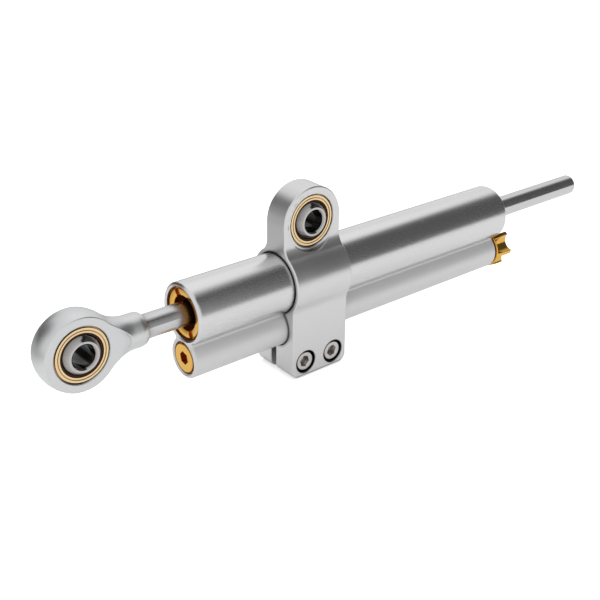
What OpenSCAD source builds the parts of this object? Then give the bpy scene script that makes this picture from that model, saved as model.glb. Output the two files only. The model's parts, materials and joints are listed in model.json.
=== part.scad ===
// Motorcycle steering damper: a through-rod hydraulic damper with a bypass tube beside its barrel,
// a clamp that carries a spherical bearing, and a rod end with a second one.
// Millimetres. The origin is the centre of the clamp's bearing, +Y runs along that bearing's bore,
// +X runs along the barrel towards the bare end of the rod, and +Z is up.

/* [Barrel] */
// Length of the barrel
barrel_l = 151.5; // [140:0.5:190]
// Outer diameter of the main tube
barrel_d = 22; // [20:0.5:26]
// Outer diameter of the bypass tube under it
bypass_d = 14.8; // [14:0.2:18]
// Wall of the main tube round the gland nut's thread
barrel_wall = 1.5; // [1:0.1:2]
// Wall of the bypass tube round its plug
bypass_wall = 1.5; // [1:0.1:2]
// Metal left between the two bores at the barrel's ends
bore_land = 1.3; // [0.8:0.1:1.6]
// Step from the gland thread down to the seal head's bore
head_step = 0.5; // [0.3:0.1:1]
// Step from the seal head's bore down to the oil chamber
chamber_step = 0.5; // [0.3:0.1:1]
// Fillet in the crease between the two tubes
crease_r = 1; // [0.5:0.1:2]
// Chamfer on the barrel's outer ends
barrel_edge = 0.7; // [0.3:0.1:1.2]
// Chamfer at the mouth of each bore in the barrel's ends
mouth_edge = 0.5; // [0.2:0.1:0.8]
// Bore of the bypass channel
channel_d = 5; // [3:0.5:7]
// Bore of the two ports between the chamber and the channel
port_d = 2.4; // [1.5:0.1:3]
// Distance from each end of the chamber to its port
port_inset = 1.5; // [1.3:0.1:4]

/* [Rod and piston] */
// Diameter of the rod
rod_d = 8.4; // [7:0.1:9]
// Distance from the barrel's front end to the centre of the rod end's bearing, as photographed
eye_out = 39.2; // [36:0.2:80]
// Length of bare rod past the barrel's rear end, as photographed
tail_out = 54; // [20:0.1:60]
// Chamfer on the rod's bare end
tail_edge = 0.4; // [0.3:0.1:1.5]
// Diameter of the rod's screwed stub in the rod end
stub_d = 6; // [5:0.5:7]
// Length of the rod's screwed stub
stub_l = 10; // [8:0.5:11.5]
// Length of the piston
piston_l = 12; // [9:0.5:16]
// Oil left behind the piston, as photographed
piston_back = 14; // [4:0.5:60]
// Width of the piston's band
band_w = 3; // [2:0.5:5]
// Depth of the piston's band
band_t = 1.1; // [0.8:0.1:1.6]
// Thickness of the two piston clips
clip_t = 0.8; // [0.6:0.1:1.2]
// Depth of the clip grooves in the rod
clip_depth = 0.6; // [0.4:0.1:0.9]
// Height of a clip above the rod
clip_rise = 1.2; // [0.8:0.1:2]
// Opening in each clip's ring
clip_gap = 4; // [2:0.5:5]

/* [Glands] */
// Depth of each gland nut's face behind the barrel's end
nut_recess = 1; // [0.5:0.1:2]
// Length of a gland nut
nut_l = 9; // [6:0.5:12]
// Width of the ring of metal between the rod and the gland nut's bore
nut_clearance = 2.1; // [1.5:0.1:2.6]
// Width of the shallow cone round the mouth of a gland nut's bore
nut_mouth = 1.1; // [0.4:0.1:1.2]
// Depth of that cone
nut_mouth_deep = 0.3; // [0.2:0.05:0.5]
// Length of the plain boss on a gland nut's face
nut_boss_l = 1.2; // [0.6:0.1:1.5]
// Step from a gland nut's thread down to its boss
nut_boss_step = 0.7; // [0.2:0.05:0.8]
// Width of the two spanner slots in a gland nut
nut_slot_w = 2.6; // [1:0.1:3]
// Depth of the spanner slots
nut_slot_deep = 1.4; // [0.8:0.1:2]
// Turn of the spanner slots about the rod
nut_slot_turn = 62; // [0:1:179]
// Length of a seal head
head_l = 25.5; // [24:0.5:30]
// Width of the wiper's rubber
wiper_w = 2.7; // [2:0.1:3]
// Length of the wiper
wiper_l = 3.5; // [2.5:0.1:4]
// Width of the rod seal's rubber
seal_w = 2.4; // [1.8:0.1:2.6]
// Length of the rod seal
seal_l = 4.5; // [3.5:0.1:6]
// Wall of the guide bush
bush_t = 1.1; // [0.8:0.1:1.6]
// Length of the guide bush
bush_l = 13.5; // [8:0.5:14]
// Thickness of the O-ring round a seal head
head_oring_t = 1.8; // [1:0.1:2]

/* [Clamp] */
// Width of the clamp along the barrel, and of its rounded lug
clamp_w = 25.2; // [20:0.2:32]
// Distance from the barrel's front end to the middle of the clamp, as photographed
clamp_at = 52.3; // [14:0.1:110]
// Thickness of the clamp's square block
clamp_t = 20.4; // [18:0.2:24]
// Wall of the clamp round the main tube
clamp_wall = 1.8; // [1.4:0.1:3]
// Height of the lug's bearing above the barrel's axis
lug_h = 21.8; // [21:0.1:30]
// Thickness of the lug
lug_t = 10; // [9:0.2:12]
// Radius of the flare from the lug into the clamp
flare_r = 6; // [3:0.5:8]
// Height of the clamp's foot under the bypass tube
foot_h = 11.2; // [9:0.1:16]
// Radius of the foot's two lower corners
foot_corner = 3; // [1:0.5:4]
// Width of the slit in the foot
slit_w = 2.9; // [1.5:0.1:4]
// Distance of the slit behind the bores' plane
slit_back = 1; // [-1:0.1:1.5]
// Diameter of the milled spot round the lug's bearing
spot_d = 21.6; // [20.5:0.1:23]

/* [Clamp screws] */
// Thread diameter of the clamp screws
screw_d = 4; // [3:0.5:5]
// Head diameter of the clamp screws
screw_head_d = 7.2; // [6:0.1:8]
// Head height of the clamp screws
screw_head_h = 4; // [3:0.1:5]
// Width across flats of the screws' sockets
screw_hex = 3.6; // [2:0.1:4]
// Depth of the screws' sockets
screw_hex_deep = 2.2; // [1.5:0.1:2.5]
// Distance between the two clamp screws
screw_span = 12.9; // [11:0.1:16]
// Diameter of the counterbores for the screw heads
screw_seat_d = 8.9; // [8.2:0.1:9]
// Depth of each screw head below the clamp's face
screw_sink = 0.6; // [0:0.1:1]
// Length of a clamp screw under its head
screw_l = 14; // [11:0.5:15]

/* [Bearings] */
// Bore of both bearings, for the mounting bolts
bolt_d = 8; // [6:0.5:9]
// Diameter of the balls
ball_d = 15.88; // [14.5:0.02:16]
// Width of the balls along their bore
ball_w = 12; // [10:0.5:12.5]
// Chamfer at each mouth of a ball's bore
ball_edge = 0.5; // [0.2:0.1:0.8]
// Thickness of the bearings' liners
liner_t = 0.7; // [0.3:0.05:0.8]
// Width of the liners
liner_w = 8.4; // [7:0.1:8.6]
// Outer diameter of the bearings' races
race_d = 19; // [18.6:0.1:20]
// Width of the races
race_w = 9; // [8.6:0.1:9.2]
// Step round each race's outer edges
race_step = 0.3; // [0.2:0.05:0.4]
// Depth of that step
race_step_deep = 0.6; // [0.3:0.1:1]
// Diameter of the staking groove in each race's faces
stake_d = 16.9; // [16.4:0.1:17.3]

/* [Rod end] */
// Diameter of the rod end's round head
head_d = 27; // [25:0.1:31]
// Thickness of the head between its flats
head_t = 9.4; // [9.3:0.1:11]
// Diameter of the rod end's neck
neck_d = 11.8; // [10.5:0.1:13]
// Distance from the bearing's centre to the end of the neck
neck_reach = 23.7; // [22:0.1:34]
// Radius of the blend from the head into the neck
blend_r = 14; // [8:0.5:16]
// Length of the chamfer on the neck's end, which is half as deep as it is long
neck_edge = 1.2; // [0.5:0.1:2]
// Distance from the bearing's centre to the tip of each flat
flat_reach = 16.2; // [15.5:0.1:19]
// Radius of that tip
flat_tip_r = 3.5; // [1.5:0.1:4]
// How far each flat's wall leans outwards, per millimetre of its depth
flat_slope = 0.6; // [0.3:0.1:1]

/* [Bypass plug] */
// Length of the plug
plug_l = 9; // [7:0.5:12]
// Depth of the plug's face behind the barrel's end
plug_recess = 0.2; // [0.1:0.1:1.5]
// Length of the plain boss on the plug's face
plug_boss_l = 1.2; // [0.6:0.1:2]
// Step from the plug's thread down to its boss
plug_boss_step = 0.65; // [0.2:0.05:0.9]
// Width across flats of the plug's socket
plug_hex = 4.2; // [3:0.1:5]
// Depth of the plug's socket
plug_hex_deep = 3; // [2:0.5:4]
// Turn of that socket about the plug's axis
plug_turn = 44; // [0:1:59]

/* [Adjuster] */
// Length of the adjuster's cartridge
cartridge_l = 20; // [18:0.5:24]
// Bore behind the needle's seat
valve_d = 7; // [5:0.5:8]
// Distance from the rear port to the needle's seat
seat_ahead = 7; // [4:0.5:12]
// Bore of the needle's seat
seat_d = 2.6; // [2:0.1:3]
// Length of the needle's seat
seat_l = 3; // [2:0.5:5]
// Length of the needle's taper
taper_l = 2.5; // [2:0.1:3]
// Diameter of the needle's tip
tip_d = 1; // [0.6:0.1:1.4]
// Travel of the needle to either side of the middle setting
needle_travel = 0.75; // [0.5:0.05:1]
// Side of the needle's square block
block_w = 4.9; // [4:0.1:5.4]
// Length of the needle's square block
block_l = 7; // [5:0.5:7.5]
// Diameter of the adjuster's spindle
spindle_d = 4; // [3.4:0.1:4.4]
// Diameter of the spindle's screw
lead_d = 3; // [2:0.1:3.4]
// Length of the spindle's screw
lead_l = 5; // [3:0.5:5.5]
// Thickness of the spindle's collar
collar_t = 1; // [0.6:0.1:1.4]

/* [Knob] */
// Number of lobes
lobes = 6; // [4:1:7]
// Diameter over the lobes
knob_d = 16.2; // [15:0.1:18]
// Diameter of the knob where it meets the barrel
knob_base_d = 15.2; // [13:0.1:15.8]
// Length of the cone from the base out to the lobes
knob_cone = 3.8; // [2:0.1:4.5]
// Length of the plain collar in front of the scallops
knob_collar = 0.6; // [0.4:0.1:1.9]
// Length of the whole knob
knob_l = 8.6; // [7.5:0.1:11]
// Radius of each scallop
scallop_r = 3.6; // [2.5:0.1:4]
// Diameter at the scallops' floors
scallop_floor_d = 10.6; // [10:0.1:12]
// Turn of the first lobe about the knob's axis
knob_turn = 186; // [0:1:359]
// Chamfer on the lobes' outer ends
knob_edge = 0.5; // [0.2:0.1:1]
// Diameter of the dish in the knob's outer face
dish_d = 8.2; // [7:0.1:9]
// Depth of that dish
dish_deep = 0.8; // [0.4:0.1:1.2]
// Diameter of the detent ball
detent_d = 2.5; // [2:0.1:2.6]
// Distance of the detent ball from the knob's axis
detent_at = 4.1; // [3.8:0.1:4.2]
// Depth of the detent ball's hole
detent_deep = 8; // [6:0.5:10]
// Number of click dimples in the knob
clicks = 12; // [6:1:14]
// Depth of each dimple
dimple_deep = 0.35; // [0.2:0.05:0.5]
// Head diameter of the knob's screw
knob_screw_head_d = 4.5; // [4:0.1:5]
// Head height of the knob's screw
knob_screw_head_h = 1.6; // [1:0.1:2]
// Thread diameter of the knob's screw
knob_screw_d = 2.5; // [2:0.1:2.6]
// Length of the knob's screw under its head
knob_screw_l = 4; // [3:0.5:5]

/* [Clearances] */
// Radial gap of a screwed or pressed joint
joint_gap = 0.04; // [0.02:0.01:0.08]
// Radial gap where one piece slides or turns in another
slide_gap = 0.04; // [0.02:0.01:0.08]
// Gap between faces that pass each other
face_gap = 0.3; // [0.2:0.05:0.5]

/* [Hidden] */
$fn = 64;

// Finishes
satin = "gainsboro";
gold = "goldenrod";
steel = "silver";
bronze = "peru";
rubber = "dimgray";
polymer = "saddlebrown";

// How far a cutting shape runs past the face it opens
past = 1;
// Length of every small chamfer on an inner piece
small_edge = 0.3;

// Radii of the tubes and their bores
barrel_r = barrel_d / 2;
bypass_r = bypass_d / 2;
thread_r = barrel_r - barrel_wall;
head_bore_r = thread_r - head_step;
chamber_r = head_bore_r - chamber_step;
plug_bore_r = bypass_r - bypass_wall;
rod_r = rod_d / 2;
axis_gap = thread_r + plug_bore_r + bore_land;

// Places along the barrel
front_x = -clamp_at;
rear_x = front_x + barrel_l;
thread_deep = nut_recess + nut_l;
chamber_inset = thread_deep + head_l;
chamber_rear_x = rear_x - chamber_inset;
main_z = -lug_h;
bypass_z = main_z - axis_gap;
eye_x = front_x - eye_out;
neck_end_x = eye_x + neck_reach;
piston_x = chamber_rear_x - piston_back - piston_l;
band_x = piston_x + (piston_l - band_w) / 2;

// Adjuster, along the bypass tube
cartridge_x = rear_x - cartridge_l;
rear_port_x = chamber_rear_x - port_inset;
seat_x = rear_port_x - seat_ahead;
needle_r = seat_d / 2 - slide_gap;
spindle_r = spindle_d / 2;
spindle_bore_x = rear_x - cartridge_l / 2;
collar_x = spindle_bore_x - slide_gap - collar_t;
block_x = collar_x - slide_gap - needle_travel - block_l;
knob_x = rear_x + face_gap;
knob_base_r = knob_base_d / 2;
knob_r = knob_d / 2;

// Bearings
ball_r = ball_d / 2;
liner_in_r = ball_r + slide_gap;
liner_out_r = liner_in_r + liner_t;
race_ball_r = liner_out_r + slide_gap;
race_r = race_d / 2;
housing_r = race_r + joint_gap;
housing_edge = 0.4;
stake_w = 0.3;
stake_deep = 0.35;

// Clamp
bulge_r = barrel_r + clamp_wall;
lug_r = clamp_w / 2;
foot_z = -axis_gap - bypass_r - foot_h;
screw_z = foot_z + foot_h / 2;
seat_deep = screw_sink + screw_head_h;

// A cylinder along X that starts at x
module bar(x, l, r) {
    translate([x, 0, 0])
        rotate([0, 90, 0])
            cylinder(h = l, r = r);
}

// A cone along X that starts at x with radius r1
module taper(x, l, r1, r2) {
    translate([x, 0, 0])
        rotate([0, 90, 0])
            cylinder(h = l, r1 = r1, r2 = r2);
}

// A ring along X with a plain bore
module sleeve(x, l, outer_r, inner_r) {
    difference() {
        bar(x, l, outer_r);
        bar(x - past, l + 2 * past, inner_r);
    }
}

// A cylinder along X with both ends chamfered
module chamfered_bar(x, l, r, edge) {
    translate([x, 0, 0])
        rotate([0, 90, 0])
            rotate_extrude()
                polygon([[0, 0], [r - edge, 0], [r, edge], [r, l - edge], [r - edge, l], [0, l]]);
}

// The same with a narrower boss on its front end
module bossed_bar(x, l, r, boss_l, step) {
    chamfered_bar(x, boss_l + past, r - step, small_edge);
    chamfered_bar(x + boss_l, l - boss_l, r, small_edge);
}

// An O-ring about the X axis that fills the space between two radii
module o_ring(x, outer_r, inner_r) {
    thick_r = (outer_r - inner_r) / 2;
    translate([x, 0, 0])
        rotate([0, 90, 0])
            rotate_extrude()
                translate([inner_r + thick_r, 0])
                    circle(r = thick_r);
}

// A hexagonal hole along X
module hex_hole(x, l, flats) {
    translate([x, 0, 0])
        rotate([0, 90, 0])
            cylinder(h = l, r = flats / sqrt(3), $fn = 6);
}

// Turns a piece drawn about Z so that its axis is Y
module about_bore() {
    rotate([90, 0, 0])
        children();
}

// Frames of the two tubes' axes
module at_main_axis() {
    translate([0, 0, main_z])
        children();
}

module at_bypass_axis() {
    translate([0, 0, bypass_z])
        children();
}

// In the ends' own frames X runs from the barrel's end face inwards
module at_front_end() {
    translate([front_x, 0, main_z])
        children();
}

module at_rear_end() {
    translate([rear_x, 0, main_z])
        mirror([1, 0, 0])
            children();
}

module at_eye() {
    translate([eye_x, 0, main_z])
        children();
}

// Section of the fillets between the two tubes, with y across and z up from the main axis
module crease_section(grow) {
    main = barrel_r + grow;
    low = bypass_r + grow;
    fillet = crease_r - grow;
    z = (pow(low + fillet, 2) - pow(main + fillet, 2) - pow(axis_gap, 2)) / (2 * axis_gap);
    y = sqrt(pow(main + fillet, 2) - z * z);
    difference() {
        polygon([[0, 0], [y, z], [0, -axis_gap], [-y, z]]);
        for (side = [-1, 1])
            translate([side * y, z])
                circle(r = fillet);
    }
}

// A section drawn in y and z, run along X
module run_along_x(x, l) {
    translate([x, 0, 0])
        rotate([90, 0, 90])
            linear_extrude(l)
                children();
}

module barrel_body() {
    chamfered_bar(front_x, barrel_l, barrel_r, barrel_edge);
    translate([0, 0, -axis_gap])
        chamfered_bar(front_x, barrel_l, bypass_r, barrel_edge);
    run_along_x(front_x + barrel_edge, barrel_l - 2 * barrel_edge)
        crease_section(0);
}

// Bore of one end of the main tube, from its end face inwards
module end_bore() {
    taper(-past, past + mouth_edge, thread_r + mouth_edge + past, thread_r);
    bar(-past, past + thread_deep, thread_r);
    bar(-past, past + chamber_inset, head_bore_r);
}

module main_bores() {
    translate([front_x, 0, 0])
        end_bore();
    translate([rear_x, 0, 0])
        mirror([1, 0, 0])
            end_bore();
    bar(front_x, barrel_l, chamber_r);
}

module bypass_bores() {
    taper(front_x - past, past + mouth_edge, plug_bore_r + mouth_edge + past, plug_bore_r);
    bar(front_x - past, past + plug_recess + plug_l, plug_bore_r);
    bar(front_x, seat_x - front_x - seat_l, channel_d / 2);
    bar(front_x, seat_x - front_x + past, seat_d / 2);
    bar(seat_x, rear_x - seat_x, valve_d / 2);
    bar(cartridge_x, cartridge_l + past, plug_bore_r);
}

module ports() {
    for (x = [front_x + chamber_inset + port_inset, rear_port_x])
        translate([x, 0, -axis_gap])
            cylinder(h = axis_gap, d = port_d);
}

module barrel() {
    color(satin)
        at_main_axis()
            difference() {
                barrel_body();
                main_bores();
                translate([0, 0, -axis_gap])
                    bypass_bores();
                ports();
            }
}

// One gland nut, in an end's own frame
module gland_nut() {
    nut_r = thread_r - joint_gap;
    bore_r = rod_r + nut_clearance;
    mouth_r = bore_r + nut_mouth;
    mouth_slope = nut_mouth / nut_mouth_deep;
    color(gold)
        difference() {
            bossed_bar(nut_recess, nut_l, nut_r, nut_boss_l, nut_boss_step);
            bar(0, thread_deep + past, bore_r);
            taper(nut_recess - past, past + nut_mouth_deep, mouth_r + past * mouth_slope, bore_r);
            rotate([nut_slot_turn, 0, 0])
                translate([nut_recess - past, -barrel_r, -nut_slot_w / 2])
                    cube([past + nut_slot_deep, barrel_d, nut_slot_w]);
        }
}

// Places inside a seal head, in an end's own frame
wiper_r = rod_r + wiper_w;
seal_r = rod_r + seal_w;
bush_r = rod_r + bush_t;
seal_x = thread_deep + wiper_l;
head_end_x = thread_deep + head_l;
head_r = head_bore_r - joint_gap;
head_groove_x = head_end_x - bush_l / 2;
head_groove_r = head_bore_r - head_oring_t;

module seal_head() {
    color(satin)
        difference() {
            bar(thread_deep, head_l, head_r);
            bar(thread_deep, head_l + past, rod_r + small_edge);
            bar(thread_deep - past, past + wiper_l, wiper_r + joint_gap);
            bar(seal_x - past, past + seal_l, seal_r + joint_gap);
            bar(head_end_x - bush_l, bush_l + past, bush_r + joint_gap);
            sleeve(head_groove_x - head_oring_t / 2, head_oring_t, head_r + past, head_groove_r);
        }
}

module guide_bush() {
    color(bronze)
        sleeve(head_end_x - bush_l, bush_l, bush_r, rod_r + slide_gap);
}

// A cup seal: two lips that open towards the chamber
module rod_seal() {
    lip_deep = seal_l / 2;
    lip_w = seal_w / 3;
    color(rubber)
        difference() {
            sleeve(seal_x, seal_l, seal_r, rod_r + slide_gap);
            sleeve(seal_x + seal_l - lip_deep, lip_deep + past, seal_r - lip_w, rod_r + lip_w);
        }
}

// The wiper's lip reaches outwards along the rod
module wiper() {
    lip_l = wiper_l / 3;
    lip_w = wiper_w / 3;
    color(rubber)
        difference() {
            union() {
                bar(thread_deep, wiper_l, wiper_r);
                taper(thread_deep - lip_l, lip_l, rod_r + lip_w / 2, rod_r + lip_w);
            }
            bar(thread_deep - lip_l - past, lip_l + wiper_l + 2 * past, rod_r + slide_gap);
        }
}

module head_o_ring() {
    color(rubber)
        o_ring(head_groove_x, head_bore_r, head_groove_r);
}

module front_gland_nut() {
    at_front_end()
        gland_nut();
}

module rear_gland_nut() {
    at_rear_end()
        gland_nut();
}

module front_seal_head() {
    at_front_end()
        seal_head();
}

module rear_seal_head() {
    at_rear_end()
        seal_head();
}

module front_guide_bush() {
    at_front_end()
        guide_bush();
}

module rear_guide_bush() {
    at_rear_end()
        guide_bush();
}

module front_rod_seal() {
    at_front_end()
        rod_seal();
}

module rear_rod_seal() {
    at_rear_end()
        rod_seal();
}

module front_wiper() {
    at_front_end()
        wiper();
}

module rear_wiper() {
    at_rear_end()
        wiper();
}

module front_head_o_ring() {
    at_front_end()
        head_o_ring();
}

module rear_head_o_ring() {
    at_rear_end()
        head_o_ring();
}

// The plug and the cartridge each have an O-ring in a groove near the inner end
plug_x = front_x + plug_recess;
oring_t = 1.3;
oring_inset = 2 * oring_t;
plug_groove_x = plug_x + plug_l - oring_inset;

module bypass_plug() {
    color(gold)
        at_bypass_axis()
            difference() {
                bossed_bar(plug_x, plug_l, plug_bore_r - joint_gap, plug_boss_l, plug_boss_step);
                rotate([plug_turn, 0, 0])
                    hex_hole(plug_x - past, past + plug_hex_deep, plug_hex);
                sleeve(plug_groove_x - oring_t / 2, oring_t, plug_bore_r + past, plug_bore_r - oring_t);
            }
}

module plug_o_ring() {
    color(rubber)
        at_bypass_axis()
            o_ring(plug_groove_x, plug_bore_r, plug_bore_r - oring_t);
}

module piston() {
    color(satin)
        at_main_axis()
            difference() {
                chamfered_bar(piston_x, piston_l, chamber_r - slide_gap, small_edge);
                bar(piston_x - past, piston_l + 2 * past, rod_r + slide_gap);
                sleeve(band_x, band_w, chamber_r + past, chamber_r - band_t);
            }
}

module piston_band() {
    color(polymer)
        at_main_axis()
            sleeve(band_x, band_w, chamber_r - slide_gap / 2, chamber_r - band_t);
}

// Each clip is an open ring in a groove of the rod, and lies against the piston
clip_in_r = rod_r - clip_depth + slide_gap;
clip_places = [piston_x - clip_t, piston_x + piston_l];

module piston_clips() {
    color(steel)
        at_main_axis()
            for (x = clip_places)
                difference() {
                    sleeve(x, clip_t, rod_r + clip_rise, clip_in_r);
                    translate([x - past, -clip_gap / 2, 0])
                        cube([clip_t + 2 * past, clip_gap, rod_r + clip_rise + past]);
                }
}

module rod() {
    tail_x = rear_x + tail_out;
    color(steel)
        at_main_axis()
            difference() {
                union() {
                    bar(neck_end_x - stub_l, stub_l, stub_d / 2);
                    bar(neck_end_x, tail_x - neck_end_x - tail_edge, rod_r);
                    taper(tail_x - tail_edge, tail_edge, rod_r, rod_r - tail_edge);
                }
                for (x = clip_places)
                    sleeve(x - slide_gap, clip_t + 2 * slide_gap, rod_r + past, rod_r - clip_depth);
            }
}

// Half outline of the turned neck: from the head's middle through a concave blend to the end.
// The blend's circle bites a hair into the head, so that the two meet cleanly.
module neck_section() {
    neck_r = neck_d / 2;
    bite = 0.01;
    blend_x = sqrt(pow(head_d / 2 + blend_r - bite, 2) - pow(neck_r + blend_r, 2));
    difference() {
        polygon([
            [0, 0], [0, neck_reach], [neck_r - neck_edge / 2, neck_reach],
            [neck_r, neck_reach - neck_edge], [neck_r, blend_x], [neck_r + blend_r, blend_x]
        ]);
        translate([neck_r + blend_r, blend_x])
            circle(r = blend_r);
    }
}

// What the cutter takes off one side of the head: a teardrop that widens outwards
module flat_cut() {
    deep = head_d / 2;
    lean = flat_slope * deep;
    hull() {
        cylinder(h = deep, r1 = head_d / 2, r2 = head_d / 2 + lean, $fn = 48);
        translate([flat_reach - flat_tip_r, 0, 0])
            cylinder(h = deep, r1 = flat_tip_r, r2 = flat_tip_r + lean, $fn = 32);
    }
}

// Bore for a bearing's race, with a chamfer at both mouths
module race_seat(thick) {
    translate([0, 0, -thick / 2 - past])
        cylinder(h = thick + 2 * past, r = housing_r);
    for (side = [0, 1])
        mirror([0, 0, side])
            translate([0, 0, thick / 2 - housing_edge])
                cylinder(h = housing_edge + past, r1 = housing_r, r2 = housing_r + housing_edge + past);
}

module rod_end() {
    color(satin)
        at_eye()
            difference() {
                union() {
                    sphere(d = head_d);
                    rotate([0, 90, 0])
                        rotate_extrude()
                            neck_section();
                }
                for (side = [0, 1])
                    mirror([0, side, 0])
                        translate([0, head_t / 2, 0])
                            rotate([-90, 0, 0])
                                flat_cut();
                about_bore()
                    race_seat(head_t);
                bar(neck_reach - stub_l - past, stub_l + 2 * past, stub_d / 2 + joint_gap);
            }
}

// Bearing pieces, drawn about Z
module race() {
    color(gold)
        difference() {
            union() {
                translate([0, 0, -race_w / 2])
                    cylinder(h = race_w, r = race_r - race_step);
                translate([0, 0, race_step_deep - race_w / 2])
                    cylinder(h = race_w - 2 * race_step_deep, r = race_r);
            }
            sphere(r = race_ball_r);
            for (side = [0, 1])
                mirror([0, 0, side])
                    translate([0, 0, race_w / 2 - stake_deep])
                        difference() {
                            cylinder(h = stake_deep + past, d = stake_d);
                            translate([0, 0, -past])
                                cylinder(h = stake_deep + 3 * past, d = stake_d - 2 * stake_w);
                        }
        }
}

module liner() {
    color(polymer)
        rotate_extrude()
            intersection() {
                difference() {
                    circle(r = liner_out_r);
                    circle(r = liner_in_r);
                }
                translate([0, -liner_w / 2])
                    square([liner_out_r + past, liner_w]);
            }
}

module ball() {
    color(steel)
        difference() {
            rotate_extrude()
                intersection() {
                    circle(r = ball_r);
                    translate([0, -ball_w / 2])
                        square([ball_r, ball_w]);
                }
            translate([0, 0, -ball_w / 2 - past])
                cylinder(h = ball_w + 2 * past, d = bolt_d);
            for (side = [0, 1])
                mirror([0, 0, side])
                    translate([0, 0, ball_w / 2 - ball_edge])
                        cylinder(h = ball_edge + past, r1 = bolt_d / 2, r2 = bolt_d / 2 + ball_edge + past);
        }
}

module lug_race() {
    about_bore()
        race();
}

module lug_liner() {
    about_bore()
        liner();
}

module lug_ball() {
    about_bore()
        ball();
}

module eye_race() {
    at_eye()
        about_bore()
            race();
}

module eye_liner() {
    at_eye()
        about_bore()
            liner();
}

module eye_ball() {
    at_eye()
        about_bore()
            ball();
}

// Section of the clamp with y across and z up from the barrel's axis
module clamp_section() {
    flare_y = lug_t / 2 + flare_r;
    flare_z = sqrt(pow(bulge_r + flare_r, 2) - flare_y * flare_y);
    circle(r = bulge_r);
    translate([-lug_t / 2, 0])
        square([lug_t, lug_h + lug_r]);
    translate([-clamp_t / 2, foot_z])
        square([clamp_t, -foot_z]);
    difference() {
        polygon([[0, 0], [flare_y, flare_z], [-flare_y, flare_z]]);
        for (side = [-1, 1])
            translate([side * flare_y, flare_z])
                circle(r = flare_r);
    }
}

// Front view of the clamp: round lug, straight sides, rounded lower corners
module clamp_outline() {
    translate([0, lug_h])
        circle(r = lug_r);
    translate([-lug_r, foot_z + foot_corner])
        square([clamp_w, lug_h - foot_z - foot_corner]);
    translate([-lug_r + foot_corner, foot_z])
        square([clamp_w - 2 * foot_corner, lug_h - foot_z]);
    for (side = [-1, 1])
        translate([side * (lug_r - foot_corner), foot_z + foot_corner])
            circle(r = foot_corner);
}

// The clamp's bore follows both tubes and the crease between them
module clamp_bore() {
    grow = slide_gap;
    bar(-clamp_w, 2 * clamp_w, barrel_r + grow);
    translate([0, 0, -axis_gap])
        bar(-clamp_w, 2 * clamp_w, bypass_r + grow);
    run_along_x(-clamp_w, 2 * clamp_w)
        crease_section(grow);
    for (side = [0, 1])
        mirror([side, 0, 0]) {
            mouth_x = lug_r - small_edge;
            taper(mouth_x, small_edge + past, barrel_r + grow, barrel_r + grow + small_edge + past);
            translate([0, 0, -axis_gap])
                taper(mouth_x, small_edge + past, bypass_r + grow, bypass_r + grow + small_edge + past);
        }
}

// Holes of the clamp screws: counterbore, free hole in the front jaw, thread in the rear jaw
module screw_holes() {
    free_r = screw_d / 2 + face_gap;
    for (side = [-1, 1])
        translate([side * screw_span / 2, 0, screw_z])
            rotate([-90, 0, 0]) {
                translate([0, 0, -clamp_t / 2 - past])
                    cylinder(h = past + seat_deep, d = screw_seat_d);
                translate([0, 0, -clamp_t / 2])
                    cylinder(h = clamp_t / 2 + slit_back, r = free_r);
                translate([0, 0, -clamp_t / 2])
                    cylinder(h = clamp_t + past, r = screw_d / 2 + joint_gap);
            }
}

module clamp() {
    color(satin)
        at_main_axis()
            difference() {
                intersection() {
                    run_along_x(-clamp_w / 2, clamp_w)
                        clamp_section();
                    translate([0, barrel_d, 0])
                        rotate([90, 0, 0])
                            linear_extrude(2 * barrel_d)
                                clamp_outline();
                }
                clamp_bore();
                translate([-clamp_w, slit_back - slit_w / 2, foot_z - past])
                    cube([2 * clamp_w, slit_w, past - foot_z - axis_gap]);
                screw_holes();
                translate([0, 0, lug_h])
                    about_bore() {
                        race_seat(lug_t);
                        for (side = [0, 1])
                            mirror([0, 0, side])
                                translate([0, 0, lug_t / 2])
                                    cylinder(h = barrel_d, d = spot_d);
                    }
            }
}

// A socket-head screw that points along +Z, with its head's top at the origin
module socket_screw() {
    edge = small_edge;
    head_r = screw_head_d / 2;
    shank_r = screw_d / 2;
    difference() {
        rotate_extrude()
            polygon([
                [0, 0], [head_r - edge, 0], [head_r, edge], [head_r, screw_head_h], [shank_r, screw_head_h],
                [shank_r, screw_head_h + screw_l - edge], [shank_r - edge, screw_head_h + screw_l],
                [0, screw_head_h + screw_l]
            ]);
        translate([0, 0, -past])
            cylinder(h = past + screw_hex_deep, r = screw_hex / sqrt(3), $fn = 6);
    }
}

module clamp_screws() {
    color(steel)
        at_main_axis()
            for (side = [-1, 1])
                translate([side * screw_span / 2, -clamp_t / 2 + screw_sink, screw_z])
                    rotate([-90, 0, 0])
                        socket_screw();
}

// Cartridge of the adjuster: square guide for the needle's block, bore for the spindle
cartridge_groove_x = cartridge_x + oring_inset;
spindle_groove_x = (spindle_bore_x + rear_x) / 2;
spindle_oring_t = 0.7;
spindle_groove_r = spindle_r - spindle_oring_t + slide_gap;
detent_r = detent_d / 2;
detent_top_x = knob_x - slide_gap;
detent_x = detent_top_x - detent_r;
detent_hole_r = detent_r + joint_gap;

module adjuster_body() {
    guide_w = block_w + 2 * slide_gap;
    color(gold)
        at_bypass_axis()
            difference() {
                bar(cartridge_x, cartridge_l, plug_bore_r - joint_gap);
                translate([cartridge_x - past, -guide_w / 2, -guide_w / 2])
                    cube([past + spindle_bore_x - cartridge_x, guide_w, guide_w]);
                bar(spindle_bore_x - past, cartridge_l, spindle_r + slide_gap);
                sleeve(cartridge_groove_x - oring_t / 2, oring_t, plug_bore_r + past, plug_bore_r - oring_t);
                translate([0, 0, detent_at])
                    bar(rear_x - detent_deep, detent_deep + past, detent_hole_r);
            }
}

module adjuster_o_ring() {
    color(rubber)
        at_bypass_axis()
            o_ring(cartridge_groove_x, plug_bore_r, plug_bore_r - oring_t);
}

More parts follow.
